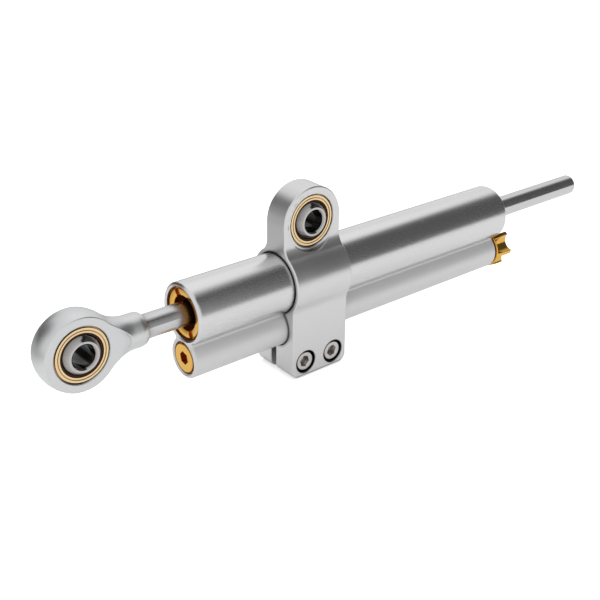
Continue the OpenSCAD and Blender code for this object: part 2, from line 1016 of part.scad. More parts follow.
// The spindle turns with the knob: screw, collar, shaft
spindle_end_x = knob_x + knob_l - dish_deep - knob_screw_head_h;

module adjuster_spindle() {
    color(steel)
        at_bypass_axis()
            difference() {
                union() {
                    bar(collar_x - lead_l, lead_l, lead_d / 2);
                    bar(collar_x, collar_t, block_w / 2);
                    bar(collar_x, spindle_end_x - collar_x, spindle_r);
                }
                sleeve(spindle_groove_x - spindle_oring_t / 2, spindle_oring_t, spindle_r + past,
                    spindle_groove_r);
                bar(spindle_end_x - knob_screw_l - small_edge, knob_screw_l + small_edge + past,
                    knob_screw_d / 2 + joint_gap);
            }
}

// This O-ring turns with the spindle, a hair clear of the cartridge's bore
module spindle_o_ring() {
    color(rubber)
        at_bypass_axis()
            o_ring(spindle_groove_x, spindle_r + slide_gap / 2, spindle_groove_r);
}

// At the middle setting the needle's full width stands one travel outside the seat's mouth
module adjuster_needle() {
    taper_x = seat_x + needle_travel - taper_l;
    color(steel)
        at_bypass_axis()
            difference() {
                union() {
                    taper(taper_x, taper_l, tip_d / 2, needle_r);
                    bar(taper_x + taper_l, block_x - taper_x - taper_l, needle_r);
                    translate([block_x, -block_w / 2, -block_w / 2])
                        cube([block_l, block_w, block_w]);
                }
                bar(block_x + block_l - lead_l - needle_travel, lead_l + needle_travel + past,
                    lead_d / 2 + slide_gap);
            }
}

module detent_ball() {
    color(steel)
        at_bypass_axis()
            translate([detent_x, 0, detent_at])
                sphere(r = detent_r);
}

// A sleeve stands for the coil spring behind the detent ball
module detent_spring() {
    spring_x = rear_x - detent_deep;
    coil_share = 0.7;
    coil_r = coil_share * detent_r;
    rest_x = detent_x - sqrt(pow(detent_r, 2) - pow(coil_r, 2)) - joint_gap;
    color(steel)
        at_bypass_axis()
            translate([0, 0, detent_at])
                sleeve(spring_x, rest_x - spring_x, detent_r, coil_r);
}

// Half outline of the knob before the scallops are cut
module knob_blank() {
    translate([knob_x, 0, 0])
        rotate([0, 90, 0])
            rotate_extrude()
                polygon([
                    [0, 0], [knob_base_r, 0], [knob_r, knob_cone], [knob_r, knob_l - knob_edge],
                    [knob_r - knob_edge, knob_l], [0, knob_l]
                ]);
}

module adjuster_knob() {
    dish_x = knob_x + knob_l - dish_deep;
    color(gold)
        at_bypass_axis()
            difference() {
                knob_blank();
                for (k = [0 : lobes - 1])
                    rotate([knob_turn + (k + 0.5) * 360 / lobes, 0, 0])
                        translate([0, scallop_floor_d / 2 + scallop_r, 0])
                            bar(knob_x + knob_collar, knob_l, scallop_r);
                for (k = [0 : clicks - 1])
                    rotate([k * 360 / clicks, 0, 0])
                        translate([knob_x - detent_r + dimple_deep, 0, detent_at])
                            sphere(r = detent_r);
                bar(dish_x, dish_deep + past, dish_d / 2);
                bar(spindle_end_x, knob_screw_head_h + past, knob_screw_head_d / 2 + joint_gap);
                bar(knob_x - past, spindle_end_x - knob_x + 2 * past, spindle_r + joint_gap);
            }
}

module knob_screw() {
    head_x = spindle_end_x;
    color(steel)
        at_bypass_axis()
            difference() {
                union() {
                    bar(head_x, knob_screw_head_h, knob_screw_head_d / 2);
                    bar(head_x - knob_screw_l, knob_screw_l + small_edge, knob_screw_d / 2);
                }
                hex_hole(head_x + knob_screw_head_h / 2, knob_screw_head_h, knob_screw_head_d / 2);
            }
}

clamp();
clamp_screws();
lug_race();
lug_liner();
lug_ball();
barrel();
front_gland_nut();
rear_gland_nut();
front_seal_head();
rear_seal_head();
front_guide_bush();
rear_guide_bush();
front_rod_seal();
rear_rod_seal();
front_wiper();
rear_wiper();
front_head_o_ring();
rear_head_o_ring();
bypass_plug();
plug_o_ring();
piston();
piston_band();
piston_clips();
rod();
rod_end();
eye_race();
eye_liner();
eye_ball();
adjuster_body();
adjuster_o_ring();
adjuster_spindle();
spindle_o_ring();
adjuster_needle();
detent_ball();
detent_spring();
adjuster_knob();
knob_screw();
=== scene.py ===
import json
import math

import bpy
import numpy as np
from mathutils import Matrix, Vector
from mathutils.geometry import tessellate_polygon


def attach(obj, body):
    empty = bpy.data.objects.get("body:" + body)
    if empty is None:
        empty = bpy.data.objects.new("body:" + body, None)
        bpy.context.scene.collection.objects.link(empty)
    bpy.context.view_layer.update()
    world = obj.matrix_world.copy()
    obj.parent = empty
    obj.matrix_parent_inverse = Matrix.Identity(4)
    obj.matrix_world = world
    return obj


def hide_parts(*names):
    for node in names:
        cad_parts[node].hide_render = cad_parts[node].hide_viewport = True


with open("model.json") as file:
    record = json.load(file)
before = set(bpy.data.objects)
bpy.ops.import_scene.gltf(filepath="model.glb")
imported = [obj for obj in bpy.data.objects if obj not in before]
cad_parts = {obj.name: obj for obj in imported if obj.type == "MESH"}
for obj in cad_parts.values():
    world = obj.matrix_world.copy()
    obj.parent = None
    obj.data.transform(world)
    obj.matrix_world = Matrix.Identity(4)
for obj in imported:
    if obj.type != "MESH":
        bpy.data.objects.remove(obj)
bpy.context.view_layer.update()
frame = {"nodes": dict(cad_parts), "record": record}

# Sizes are in millimetres from the centre of the lug's bearing, which is the origin. MM turns them to metres.
MM = 0.001

# The barrel's two tubes
MAIN_Z, BYPASS_Z = -21.8, -38.5
AXIS_GAP = MAIN_Z - BYPASS_Z
FRONT_X, REAR_X = -52.3, 99.2
BARREL_R, BYPASS_R = 11.0, 7.4
TUBE_FILLET = 1.0

# The main tube's bores, the same from both ends, and the bypass tube's bores from the front to the rear
NUT_BORE_R, NUT_BORE_DEPTH = 9.5, 10.0
HEAD_BORE_R, HEAD_BORE_DEPTH = 9.0, 35.5
PISTON_BORE_R = 8.5
LOW_BORE_R, PLUG_BORE_DEPTH = 5.9, 9.2
CHANNEL_R = 2.5
NEEDLE_SEAT_R, NEEDLE_SEAT_X, NEEDLE_SEAT_L = 1.3, 52.2, 3.0
NEEDLE_BORE_R = 3.5
CARTRIDGE_BORE_DEPTH = 20.0
MOUTH_BEVEL = 0.5

# The radial gap between a bore and the piece that sits in it
FIT_GAP = 0.04

# Rod, with its stub in the rod end and its piston
ROD_R = 4.2
STUB_R, STUB_L = 3.0, 10.0
PISTON_X = 43.7
TAIL_X = 153.2

# Rod end
EYE_X = -91.5
NECK_END_X = -67.8
EYE_HEAD_R = 13.5
EYE_HALF_W = 4.7

# Clamp, with the heights of its foot and screws taken from the main axis
LUG_R, LUG_HALF_W = 12.6, 5.0
BULGE_R = 12.8
FOOT_Z, FOOT_HALF_W = -35.3, 10.2
SCREW_X, SCREW_Z = 6.45, -29.7
SCREW_R, SCREW_HEAD_R, SCREW_L = 2.0, 3.6, 18.0

# Bearings
RACE_R, RACE_HALF_W = 9.5, 4.5
BALL_R, BALL_HALF_W = 7.94, 6.0

# Gold pieces
NUT_SET_BACK = 1.0
PLUG_SET_BACK = 0.2
KNOB_X, KNOB_R, KNOB_L = 99.5, 8.1, 8.6


# Signed distances: negative inside, in millimetres
def both(a, b, r):
    """What is in a and in b, with a rounded edge."""
    return np.minimum(np.maximum(a, b), -r) + np.hypot(np.maximum(a + r, 0), np.maximum(b + r, 0))


def either(a, b, r):
    """What is in a or in b, with a rounded inner corner."""
    return -both(-a, -b, r)


def less(a, b, r):
    """a with b cut out of it."""
    return both(a, -b, r)


def rounded_box(u, v, half_u, half_v, r):
    du, dv = np.abs(u) - half_u + r, np.abs(v) - half_v + r
    return np.hypot(np.maximum(du, 0), np.maximum(dv, 0)) + np.minimum(np.maximum(du, dv), 0) - r


def hexagon(u, v, flats):
    """Distance to a hexagon with two corners along u."""
    d = np.abs(v) - flats / 2
    for turn in (60, -60):
        c, s = math.cos(math.radians(turn)), math.sin(math.radians(turn))
        d = np.maximum(d, np.abs(u * s + v * c) - flats / 2)
    return d


def slope(along, across, length, rise):
    """Distance to a straight wall that goes out by rise over a length."""
    return (length * across - rise * along) / math.hypot(length, rise)


def fillet_centre(main_r, low_r, fillet):
    """The centre of the fillet between the two tubes' circles, measured from the main tube's centre."""
    z = ((low_r + fillet) ** 2 - (main_r + fillet) ** 2 - AXIS_GAP ** 2) / (2 * AXIS_GAP)
    return math.sqrt((main_r + fillet) ** 2 - z ** 2), z


def crease(y, z, grow, fillet):
    """The two fillets between the tubes, with z up from the main axis."""
    cy, cz = fillet_centre(BARREL_R + grow, BYPASS_R + grow, fillet)
    y = np.abs(y)
    upper = (z * cy - y * cz) / math.hypot(cy, cz)
    lower = ((y - cy) * (AXIS_GAP + cz) - (z - cz) * cy) / math.hypot(cy, AXIS_GAP + cz)
    return np.maximum(np.maximum(upper, lower), fillet - np.hypot(y - cy, z - cz))


def race_seat(across, u, v, half_w):
    """The bore for a bearing's race, bevelled where it opens at half_w from the middle plane."""
    bevel_depth, bevel_most = 0.4, 0.45
    bevel = np.clip(np.abs(across) - half_w + bevel_depth, 0, bevel_most)
    return np.hypot(u, v) - (RACE_R + FIT_GAP) - bevel


SEAT_EDGE = 0.12


def clamp_section(y, w):
    """The clamp seen along the tubes: bulge round the main tube, lug plate, flares between them, and foot."""
    flare_r = 6.0
    foot_blend = 0.9
    foot_spare = 3.0
    ay = np.abs(y)
    bulge = np.hypot(y, w) - BULGE_R
    plate = np.maximum(ay - LUG_HALF_W, -w)
    reach, flare_y = BULGE_R + flare_r, LUG_HALF_W + flare_r
    flare_z = math.sqrt(reach ** 2 - flare_y ** 2)
    wedge = np.maximum((ay * flare_z - w * flare_y) / reach, w - flare_z)
    flare = np.maximum(wedge, flare_r - np.hypot(ay - flare_y, w - flare_z))
    upper = np.minimum(np.minimum(bulge, plate), flare)
    foot = np.maximum(np.maximum(ay - FOOT_HALF_W, w), FOOT_Z - foot_spare - w)
    return either(upper, foot, foot_blend)


def clamp_outline(x, z):
    """The clamp seen from its side: round above the lug's centre, with rounded corners at the foot."""
    foot_corner = 3.0
    box_top = 60.0
    w = z - MAIN_Z
    middle = (FOOT_Z + box_top) / 2
    box = rounded_box(x, w - middle, LUG_R, box_top - middle, foot_corner)
    return np.where(z > 0, np.hypot(x, z) - LUG_R, box)


def clamp_distance(x, y, z):
    edge = 0.5
    bore_bevel, bore_edge = 0.35, 0.2
    slit_y, slit_half_w, slit_edge = 1.0, 1.45, 0.2
    counterbore_r, counterbore_depth, counterbore_edge = 4.45, 4.6, 0.25
    clearance_r, hole_edge = 2.3, 0.1
    spot_r, spot_depth, spot_edge = 10.8, 0.02, 0.15
    w = z - MAIN_Z
    d = both(clamp_section(y, w), clamp_outline(x, z), edge)
    bore = np.minimum(np.hypot(y, w) - BARREL_R, np.hypot(y, w + AXIS_GAP) - BYPASS_R) - FIT_GAP
    bore = np.minimum(bore, crease(y, w, FIT_GAP, TUBE_FILLET - FIT_GAP))
    d = less(d, bore - np.maximum(np.abs(x) - LUG_R + bore_bevel, 0), bore_edge)
    d = less(d, np.maximum(np.abs(y - slit_y) - slit_half_w, w + AXIS_GAP), slit_edge)
    hole = np.hypot(np.abs(x) - SCREW_X, w - SCREW_Z)
    d = less(d, np.maximum(hole - counterbore_r, y + FOOT_HALF_W - counterbore_depth), counterbore_edge)
    d = less(d, hole - np.where(y < slit_y, clearance_r, SCREW_R + FIT_GAP), hole_edge)
    d = less(d, race_seat(y, x, z, LUG_HALF_W), SEAT_EDGE)
    return less(d, np.maximum(LUG_HALF_W - spot_depth - np.abs(y), np.hypot(x, z) - spot_r), spot_edge)


def teardrop(u, v, big, small, reach):
    """Distance to the hull of two circles, the small one at v = reach."""
    u = np.abs(u)
    b = (big - small) / reach
    a = math.sqrt(1 - b * b)
    k = a * v - b * u
    side = a * u + b * v - big
    tip = np.hypot(u, v - reach) - small
    return np.where(k < 0, np.hypot(u, v) - big, np.where(k > a * reach, tip, side))


def eye_neck(u, r):
    """The turned part of the rod end, with u from the eye's centre: ball, hollow blend and bevelled neck."""
    blend_r, neck_r = 14.0, 5.9
    bevel_l, bevel_depth = 1.2, 0.6
    bevel_edge, end_edge = 0.5, 0.25
    neck_l = NECK_END_X - EYE_X
    ball = np.hypot(u, r) - EYE_HEAD_R
    blend_y = neck_r + blend_r
    blend_x = math.sqrt((EYE_HEAD_R + blend_r) ** 2 - blend_y ** 2)
    line = (r * blend_x - u * blend_y) / math.hypot(blend_x, blend_y)
    blend = np.maximum(np.maximum(line, u - blend_x), blend_r - np.hypot(u - blend_x, r - blend_y))
    bevel = slope(neck_l - bevel_l - u, r - neck_r, bevel_l, bevel_depth)
    neck = both(both(r - neck_r, bevel, bevel_edge), np.maximum(u - neck_l, -u), end_edge)
    return np.minimum(np.minimum(ball, blend), neck)


def rod_end_distance(x, y, z):
    tip_r, tip_reach = 3.5, 12.7
    wall_slope, root_edge, rim_edge = 0.6, 0.6, 0.25
    hole_spare, hole_edge = 1.0, 0.1
    u, w = x - EYE_X, z - MAIN_Z
    r = np.hypot(y, w)
    d = eye_neck(u, r)
    deep = np.abs(y) - EYE_HALF_W
    wall = (teardrop(w, u, EYE_HEAD_R, tip_r, tip_reach) - wall_slope * deep) / math.hypot(1, wall_slope)
    d = less(d, both(-deep, wall, root_edge), rim_edge)
    d = less(d, race_seat(y, u, w, EYE_HALF_W), SEAT_EDGE)
    hole_start = NECK_END_X - EYE_X - STUB_L - hole_spare
    return less(d, np.maximum(r - STUB_R - FIT_GAP, hole_start - u), hole_edge)


def knob_distance(x, y, z):
    base_r, cone_l, cone_edge = 7.6, 3.8, 0.3
    lobes, first_lobe = 6, 186
    root_r, scallop_r, flange_l = 5.3, 3.6, 0.6
    floor_edge, scallop_edge, end_edge = 0.3, 0.25, 0.45
    dish_r, dish_depth, dish_edge = 4.1, 0.8, 0.15
    head_hole_r, head_hole_depth, spindle_hole_r, hole_edge = 2.29, 2.4, 2.04, 0.05
    u, w = x - KNOB_X, z - BYPASS_Z
    r = np.hypot(y, w)
    d = both(r - KNOB_R, slope(u, r - base_r, cone_l, KNOB_R - base_r), cone_edge)
    scallop_at = root_r + scallop_r
    for k in range(lobes):
        a = math.radians(first_lobe + (k + 0.5) * 360 / lobes)
        scallop = np.hypot(y - scallop_at * math.cos(a), w - scallop_at * math.sin(a)) - scallop_r
        d = less(d, both(scallop, flange_l - u, floor_edge), scallop_edge)
    d = both(d, np.maximum(u - KNOB_L, -u), end_edge)
    d = less(d, np.maximum(r - dish_r, KNOB_L - dish_depth - u), dish_edge)
    d = less(d, np.maximum(r - head_hole_r, KNOB_L - head_hole_depth - u), hole_edge)
    return less(d, r - spindle_hole_r, hole_edge)


def gland_nut_distance(u, y, w):
    """One gland nut, with u inwards from the barrel's end and w up from the main axis."""
    thread_start, thread_edge = 2.2, 0.25
    boss_r, boss_end, boss_edge = 8.76, 5.0, 0.3
    bore_r, bore_edge = 6.3, 0.12
    mouth_depth, mouth_flare = 0.3, 1.1
    slot_turn, slot_half_w, slot_depth, slot_edge = 62, 1.3, 1.4, 0.18
    r = np.hypot(y, w)
    thread = both(r - NUT_BORE_R + FIT_GAP, np.maximum(thread_start - u, u - NUT_BORE_DEPTH), thread_edge)
    boss = both(r - boss_r, np.maximum(NUT_SET_BACK - u, u - boss_end), boss_edge)
    mouth = slope(NUT_SET_BACK + mouth_depth - u, r - bore_r, mouth_depth, mouth_flare)
    d = less(np.minimum(thread, boss), np.minimum(r - bore_r, mouth), bore_edge)
    a = math.radians(slot_turn)
    across = np.abs(w * math.cos(a) - y * math.sin(a)) - slot_half_w
    return less(d, np.maximum(across, u - NUT_SET_BACK - slot_depth), slot_edge)


def plug_distance(x, y, z):
    thread_start, thread_edge = 1.4, 0.25
    boss_r, boss_end, boss_edge = 5.21, 4.0, 0.3
    groove_r, groove_at, groove_half_w, groove_edge = 4.6, 6.6, 0.65, 0.1
    socket_w, socket_depth, socket_turn, socket_bevel, socket_edge = 4.2, 3.0, 16, 0.1, 0.12
    u, w = x - FRONT_X, z - BYPASS_Z
    r = np.hypot(y, w)
    thread = both(r - LOW_BORE_R + FIT_GAP, np.maximum(thread_start - u, u - PLUG_BORE_DEPTH), thread_edge)
    boss = both(r - boss_r, np.maximum(PLUG_SET_BACK - u, u - boss_end), boss_edge)
    groove = np.maximum(groove_r - r, np.abs(u - groove_at) - groove_half_w)
    d = less(np.minimum(thread, boss), groove, groove_edge)
    s, c = math.sin(math.radians(socket_turn)), math.cos(math.radians(socket_turn))
    socket = hexagon(y * s + w * c, y * c - w * s, socket_w)
    socket = socket - np.clip(PLUG_SET_BACK + socket_bevel - u, 0, socket_bevel)
    return less(d, np.maximum(socket, u - PLUG_SET_BACK - socket_depth), socket_edge)


def screw_distance(u, v, t):
    """A clamp screw, with t inwards from its head's top face."""
    head_l, head_edge, shank_overlap = 4.0, 0.35, 1.0
    socket_w, socket_depth, socket_bevel, socket_edge = 3.6, 2.2, 0.25, 0.1
    r = np.hypot(u, v)
    head = both(r - SCREW_HEAD_R, np.maximum(-t, t - head_l), head_edge)
    shank = np.maximum(np.maximum(r - SCREW_R, t - SCREW_L), head_l - shank_overlap - t)
    socket = np.maximum(hexagon(u, v, socket_w) - np.maximum(socket_bevel - t, 0), t - socket_depth)
    return less(np.minimum(head, shank), socket, socket_edge)


# Meshing
def gradient(distance, p, h=0.01):
    g = np.empty_like(p)
    for axis in range(3):
        step = np.zeros(3)
        step[axis] = h
        g[:, axis] = (distance(*(p + step).T) - distance(*(p - step).T)) / (2 * h)
    return g


def crossing_points(values, lo, cell):
    """One point in each cell that the surface crosses, and the cells' numbers."""
    n = np.array(values.shape)
    inside = values < 0
    corners = [(a, b, c) for a in (0, 1) for b in (0, 1) for c in (0, 1)]
    count = np.zeros(tuple(n - 1), np.int8)
    for a, b, c in corners:
        count += inside[a:n[0] - 1 + a, b:n[1] - 1 + b, c:n[2] - 1 + c]
    cells = np.argwhere((count > 0) & (count < 8))
    number = np.full(tuple(n - 1), -1, np.int32)
    number[tuple(cells.T)] = np.arange(len(cells))
    total, hits = np.zeros((len(cells), 3)), np.zeros(len(cells))
    for a in corners:
        for axis in range(3):
            if a[axis]:
                continue
            b = list(a)
            b[axis] = 1
            va = values[tuple((cells + a).T)]
            vb = values[tuple((cells + b).T)]
            cross = (va < 0) != (vb < 0)
            t = np.where(cross, va / np.where(va == vb, 1, va - vb), 0)
            point = np.array(a, float) + t[:, None] * (np.array(b) - np.array(a))
            total += np.where(cross[:, None], point, 0)
            hits += cross
    return lo + cell * (cells + total / hits[:, None]), number


def crossing_quads(inside, number):
    """A quad round each grid edge that the surface crosses."""
    n = inside.shape
    quads = []
    for axis in range(3):
        u, v = (axis + 1) % 3, (axis + 2) % 3
        first = [slice(1, m - 1) for m in n]
        second = list(first)
        first[axis], second[axis] = slice(0, n[axis] - 1), slice(1, n[axis])
        one, two = inside[tuple(first)], inside[tuple(second)]
        at = np.argwhere(one != two) + [0 if i == axis else 1 for i in range(3)]
        out = inside[tuple(at.T)]
        ring = []
        for du, dv in ((-1, -1), (0, -1), (0, 0), (-1, 0)):
            k = at.copy()
            k[:, u] += du
            k[:, v] += dv
            ring.append(number[tuple(k.T)])
        ring = np.stack(ring, 1)
        quads.append(np.where(out[:, None], ring, ring[:, ::-1]))
    return np.concatenate(quads)


def surface(distance, lo, hi, cell):
    """Points, quads and normals of the surface where distance is 0, in millimetres."""
    margin = 1.37 * cell
    moves, longest_move = 5, 0.4 * cell
    least_slope, normal_step, tiny = 0.05, 0.04, 1e-9
    lo = np.array(lo, float) - margin
    n = np.ceil((np.array(hi, float) + margin - lo) / cell).astype(int) + 1
    axes = [lo[i] + cell * np.arange(n[i]) for i in range(3)]
    values = np.empty(tuple(n), np.float32)
    for i, x in enumerate(axes[0]):
        y, z = np.meshgrid(axes[1], axes[2], indexing="ij")
        values[i] = distance(np.full_like(y, x), y, z)
    points, number = crossing_points(values, lo, cell)
    quads = crossing_quads(values < 0, number)
    for _ in range(moves):
        g = gradient(distance, points)
        size = np.maximum((g * g).sum(1), least_slope)
        move = -(distance(*points.T) / size)[:, None] * g
        length = np.linalg.norm(move, axis=1, keepdims=True)
        points = points + move * np.minimum(1, longest_move / np.maximum(length, tiny))
    normals = gradient(distance, points, normal_step)
    normals /= np.maximum(np.linalg.norm(normals, axis=1, keepdims=True), tiny)
    return points, quads, normals


def piece(name, points, faces, body, slot, node, normals=None, crisp=32):
    """Adds a mesh object in the part's frame, from points in millimetres, which stands for a CAD node."""
    points = np.asarray(points, float)
    faces = [list(map(int, f)) for f in faces]
    fans = np.array([(f[0], f[i], f[i + 1]) for f in faces for i in range(1, len(f) - 1)])
    a, b, c = (points[fans[:, i]] for i in range(3))
    if (np.cross(a, b) * c).sum() < 0:
        faces = [f[::-1] for f in faces]
    mesh = bpy.data.meshes.new(name)
    mesh.from_pydata((points * MM).tolist(), [], faces)
    mesh.validate()
    mesh.update()
    mesh.polygons.foreach_set("use_smooth", [True] * len(mesh.polygons))
    if normals is None:
        mesh.set_sharp_from_angle(angle=math.radians(crisp))
    else:
        mesh.normals_split_custom_set_from_vertices(normals.tolist())
    ob = bpy.data.objects.new(name, mesh)
    bpy.context.scene.collection.objects.link(ob)
    mesh.materials.append(MATERIALS[slot])
    if normals is None:
        even = ob.modifiers.new("even_shading", "WEIGHTED_NORMAL")
        even.keep_sharp = True
    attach(ob, body)
    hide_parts(node)


def carved(name, distance, lo, hi, cell, body, slot, node):
    """Adds a piece whose surface is where distance is 0, between the corners lo and hi."""
    points, quads, normals = surface(distance, lo, hi, cell)
    piece(name, points, quads, body, slot, node, normals)


def lathe(profile, axis, centre, steps):
    """Points and faces of a closed profile of (along, radius), turned about an axis through centre."""
    points, faces, rows = [], [], []
    along = {"x": (0, 1, 2), "y": (1, 2, 0)}[axis]
    for a, r in profile:
        row = []
        for k in range(steps if r > 0 else 1):
            t = 2 * math.pi * k / steps
            p = [0, 0, 0]
            p[along[0]] = a + centre[along[0]]
            p[along[1]] = r * math.cos(t) + centre[along[1]]
            p[along[2]] = r * math.sin(t) + centre[along[2]]
            row.append(len(points))
            points.append(p)
        rows.append(row)
    for one, two in zip(rows, rows[1:] + rows[:1]):
        if len(one) == 1 and len(two) == 1:
            continue
        for k in range(steps):
            m = (k + 1) % steps
            quad = [one[k % len(one)], one[m % len(one)], two[m % len(two)], two[k % len(two)]]
            face = [v for i, v in enumerate(quad) if v != quad[i - 1]]
            faces.append(face)
    return points, faces


def softened(profile, r, steps=3):
    """A closed profile with each corner off the axis rounded by r, or by less on short sides."""
    least_turn, least_side, largest_share = math.radians(20), 1e-6, 0.45
    out, n = [], len(profile)
    for i, p in enumerate(profile):
        p, a, b = (np.array(q, float) for q in (p, profile[i - 1], profile[(i + 1) % n]))
        la, lb = np.linalg.norm(a - p), np.linalg.norm(b - p)
        if p[1] <= 0 or min(la, lb) < least_side:
            out.append(tuple(p))
            continue
        da, db = (a - p) / la, (b - p) / lb
        turn = math.pi - math.acos(max(-1, min(1, float(da @ db))))
        if turn < least_turn:
            out.append(tuple(p))
            continue
        cut = min(r * math.tan(turn / 2), largest_share * la, largest_share * lb)
        start, end = p + da * cut, p + db * cut
        for s in range(steps + 1):
            t = s / steps
            out.append(tuple((1 - t) ** 2 * start + 2 * t * (1 - t) * p + t ** 2 * end))
    return out


def turned(name, profile, axis, centre, body, slot, node, soft, steps=96):
    """Adds a turned piece, with the corners of its profile softened."""
    points, faces = lathe(softened(profile, soft), axis, centre, steps)
    piece(name, points, faces, body, slot, node)


# Material nodes
def nodes_of(name):
    m = bpy.data.materials.new(name)
    m.use_nodes = True
    return m, m.node_tree, m.node_tree.nodes["Principled BSDF"]


def noise(tree, stretch, detail=3.0, rough=0.55):
    """A noise in object coordinates, with so many cycles to the metre along each axis."""
    where = tree.nodes.new("ShaderNodeTexCoord")
    scale = tree.nodes.new("ShaderNodeMapping")
    scale.inputs["Scale"].default_value = stretch
    n = tree.nodes.new("ShaderNodeTexNoise")
    n.inputs["Scale"].default_value = 1.0
    n.inputs["Detail"].default_value = detail
    n.inputs["Roughness"].default_value = rough
    tree.links.new(where.outputs["Object"], scale.inputs["Vector"])
    tree.links.new(scale.outputs["Vector"], n.inputs["Vector"])
    return n.outputs["Fac"]


def part_axis(tree, axis):
    """One coordinate in the object's own frame, in metres."""
    where = tree.nodes.new("ShaderNodeTexCoord")
    split = tree.nodes.new("ShaderNodeSeparateXYZ")
    tree.links.new(where.outputs["Object"], split.inputs[0])
    return split.outputs[axis]


def calculated(tree, kind, *values):
    """A math node of a kind, whose inputs are numbers or other nodes' outputs."""
    n = tree.nodes.new("ShaderNodeMath")
    n.operation = kind
    for i, value in enumerate(values):
        if isinstance(value, (int, float)):
            n.inputs[i].default_value = value
        else:
            tree.links.new(value, n.inputs[i])
    return n.outputs[0]


def spread(tree, value, low, high, start=0.3, end=0.7):
    """Maps the range from start to end of a value to the range from low to high."""
    m = tree.nodes.new("ShaderNodeMapRange")
    for key, number in (("From Min", start), ("From Max", end), ("To Min", low), ("To Max", high)):
        m.inputs[key].default_value = number
    tree.links.new(value, m.inputs["Value"])
    return m.outputs["Result"]


def ramp(tree, value, dark, light, start=0.3, end=0.7):
    """A colour that goes from dark to light while the value goes from start to end."""
    r = tree.nodes.new("ShaderNodeValToRGB")
    for stop, at, colour in zip(r.color_ramp.elements, (start, end), (dark, light)):
        stop.position = at
        stop.color = (*colour, 1)
    tree.links.new(value, r.inputs["Fac"])
    return r.outputs["Color"]


def paint_crevice_shade(tree, colour, painted_shade_reach, powers, deep):
    """The colour with painted shade: darker in slots, sockets and bores narrower than the given reach in
    millimetres.

    The three powers say how fast red, green and blue darken. The colour deep, if given, is painted bounce
    light: it glows in them as an emission, in place of light that bounces between close walls."""
    deepest = 0.6
    open_sky = tree.nodes.new("ShaderNodeAmbientOcclusion")
    open_sky.samples = 8
    open_sky.inputs["Distance"].default_value = painted_shade_reach * MM
    shares = tree.nodes.new("ShaderNodeCombineXYZ")
    for power, channel in zip(powers, "XYZ"):
        share = calculated(tree, "POWER", open_sky.outputs["AO"], power)
        tree.links.new(share, shares.inputs[channel])
    mix = tree.nodes.new("ShaderNodeVectorMath")
    mix.operation = "MULTIPLY"
    tree.links.new(colour, mix.inputs[0])
    tree.links.new(shares.outputs[0], mix.inputs[1])
    # Painted bounce light: the crevices glow with the colour deep as an emission.
    if deep:
        shader = tree.nodes["Principled BSDF"]
        shader.inputs["Emission Color"].default_value = (*deep, 1)
        closed = spread(tree, open_sky.outputs["AO"], 1, 0, 0, deepest)
        tree.links.new(closed, shader.inputs["Emission Strength"])
    return mix.outputs[0]


MATERIALS = {}


def metal(name, colour, rough, grain, shade=0.05, rough_range=0.06, bump=0.1, height=2e-5, metallic=1.0,
          painted_shade_reach=0.0, powers=(1.0, 1.0, 1.0), deep=None, satin_below=None, specular=0.5,
          drawn=0.0):
    """A material whose tint, roughness and surface follow a grain, kept under its name, with painted shade in
    its slots, bores and gaps when a shade reach is given.

    A drawn metal blurs its reflections more along the x axis than round it.
    Below the height satin_below, in millimetres, the metal is blasted: rougher, and half of it diffuse."""
    patches, patch_detail = (60, 60, 60), 2.0
    satin_rough, satin_metallic, satin_edge = 0.2, 0.5, 0.5
    along_axis = 0.25
    m, tree, shader = nodes_of(name)
    g = noise(tree, grain)
    patch = noise(tree, patches, patch_detail)
    dark = tuple(c * (1 - shade) for c in colour)
    light = tuple(min(1, c * (1 + shade)) for c in colour)
    tint = ramp(tree, g, dark, light)
    # Painted shade: the tint darkens where the surface is closed in, in slots, bores and the gaps between
    # parts.
    if painted_shade_reach:
        tint = paint_crevice_shade(tree, tint, painted_shade_reach, powers, deep)
    tree.links.new(tint, shader.inputs["Base Color"])
    fine = spread(tree, g, rough - rough_range, rough)
    roughness = calculated(tree, "ADD", fine, spread(tree, patch, 0, rough_range))
    if satin_below is not None:
        height_z = part_axis(tree, "Z")
        low, high = (satin_below - satin_edge) * MM, (satin_below + satin_edge) * MM
        roughness = calculated(tree, "ADD", roughness, spread(tree, height_z, satin_rough, 0, low, high))
        tree.links.new(spread(tree, height_z, satin_metallic, metallic, low, high), shader.inputs["Metallic"])
    tree.links.new(roughness, shader.inputs["Roughness"])
    shader.inputs["Metallic"].default_value = metallic
    shader.inputs["Specular IOR Level"].default_value = specular
    if drawn:
        tangent = tree.nodes.new("ShaderNodeTangent")
        tangent.direction_type, tangent.axis = "RADIAL", "X"
        tree.links.new(tangent.outputs["Tangent"], shader.inputs["Tangent"])
        shader.inputs["Anisotropic"].default_value = drawn
        shader.inputs["Anisotropic Rotation"].default_value = along_axis
    b = tree.nodes.new("ShaderNodeBump")
    b.inputs["Strength"].default_value = bump
    b.inputs["Distance"].default_value = height
    tree.links.new(g, b.inputs["Height"])
    tree.links.new(b.outputs["Normal"], shader.inputs["Normal"])
    MATERIALS[name] = m


# The shade reaches given below, in millimetres, paint shade into each material's slots, bores and the gaps
# between parts.
# Aluminium: the brushed barrel, the tumbled clamp and rod end, and the turned pieces inside
SILVER = (0.66, 0.66, 0.665)
metal("barrel_aluminium", SILVER, rough=0.27, grain=(90, 3500, 3500), shade=0.01, rough_range=0.012,
      bump=0.006, painted_shade_reach=0.8, satin_below=-31.8)
metal("clamp_aluminium", SILVER, rough=0.33, grain=(5200, 5200, 5200), shade=0.03, rough_range=0.05,
      bump=0.15, painted_shade_reach=1.6, powers=(2.0, 2.0, 2.0))
metal("rod_end_aluminium", (0.64, 0.645, 0.65), rough=0.37, grain=(6000, 6000, 6000), shade=0.04,
      rough_range=0.05, bump=0.15, painted_shade_reach=1.0, powers=(2.2, 2.2, 2.2))
metal("inner_aluminium", SILVER, rough=0.35, grain=(4000, 300, 300))
